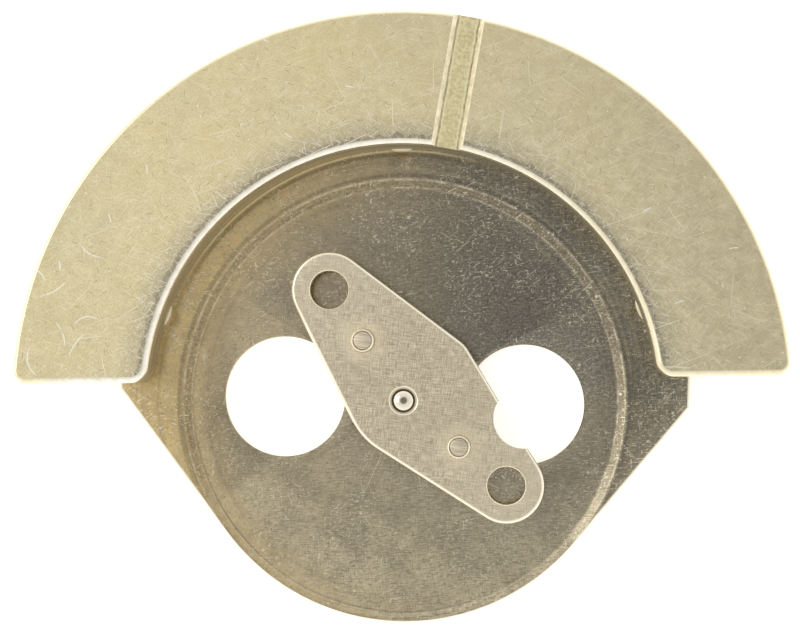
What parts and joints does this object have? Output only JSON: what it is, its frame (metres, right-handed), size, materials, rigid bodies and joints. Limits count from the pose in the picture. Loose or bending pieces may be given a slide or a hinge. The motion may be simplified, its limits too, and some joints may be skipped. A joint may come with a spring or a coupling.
{
  "type": "self-winding rotor module",
  "caption": "Half-moon winding weight on a dished plate, turning without stop about a fixed axle in a lozenge-shaped bearing plate with steady pins and screw holes.",
  "frame": {"origin": "on the rotor's axis, level with the bearing plate's top face, which lies on the movement", "axes": "+Z along the rotor's axis towards the movement, +Y towards the middle of the weight's rim, +X along the rim's ends"},
  "size_m": [0.0259, 0.0205, 0.0023],
  "materials": {
    "weight_rim": "satin, warm grey heavy alloy",
    "carrier_plate": "polished, finely brushed, plated",
    "rim_rivet": "satin",
    "bearing_plate": "very finely brushed, polished bevels",
    "steady_pin": "brushed end, polished edge",
    "axle_post": "mirror polished steel",
    "thrust_washer": "smooth bronze",
    "retaining_washer": "smooth",
    "retaining_screw": "polished, dark",
    "hub": "turned",
    "bearing_bush": "smooth bronze",
    "drive_pinion": "polished"
  },
  "bodies": {
    "bearing_bridge": {"bearing_plate": "bearing_plate", "steady_pin_upper": "steady_pin", "steady_pin_lower": "steady_pin", "axle_post": "axle_post", "thrust_washer": "thrust_washer", "retaining_washer": "retaining_washer", "retaining_screw": "retaining_screw"},
    "rotor": {"weight_rim": "weight_rim", "carrier_plate": "carrier_plate", "rim_rivet_right": "rim_rivet", "rim_rivet_middle": "rim_rivet", "rim_rivet_left": "rim_rivet", "hub": "hub", "bearing_bush": "bearing_bush", "drive_pinion": "drive_pinion"}
  },
  "joints": [
    {"name": "rotor_spin", "type": "hinge", "parent": "bearing_bridge", "child": "rotor", "pos_m": [0, 0, 0], "axis": [0, 0, 1], "continuous": true}
  ]
}
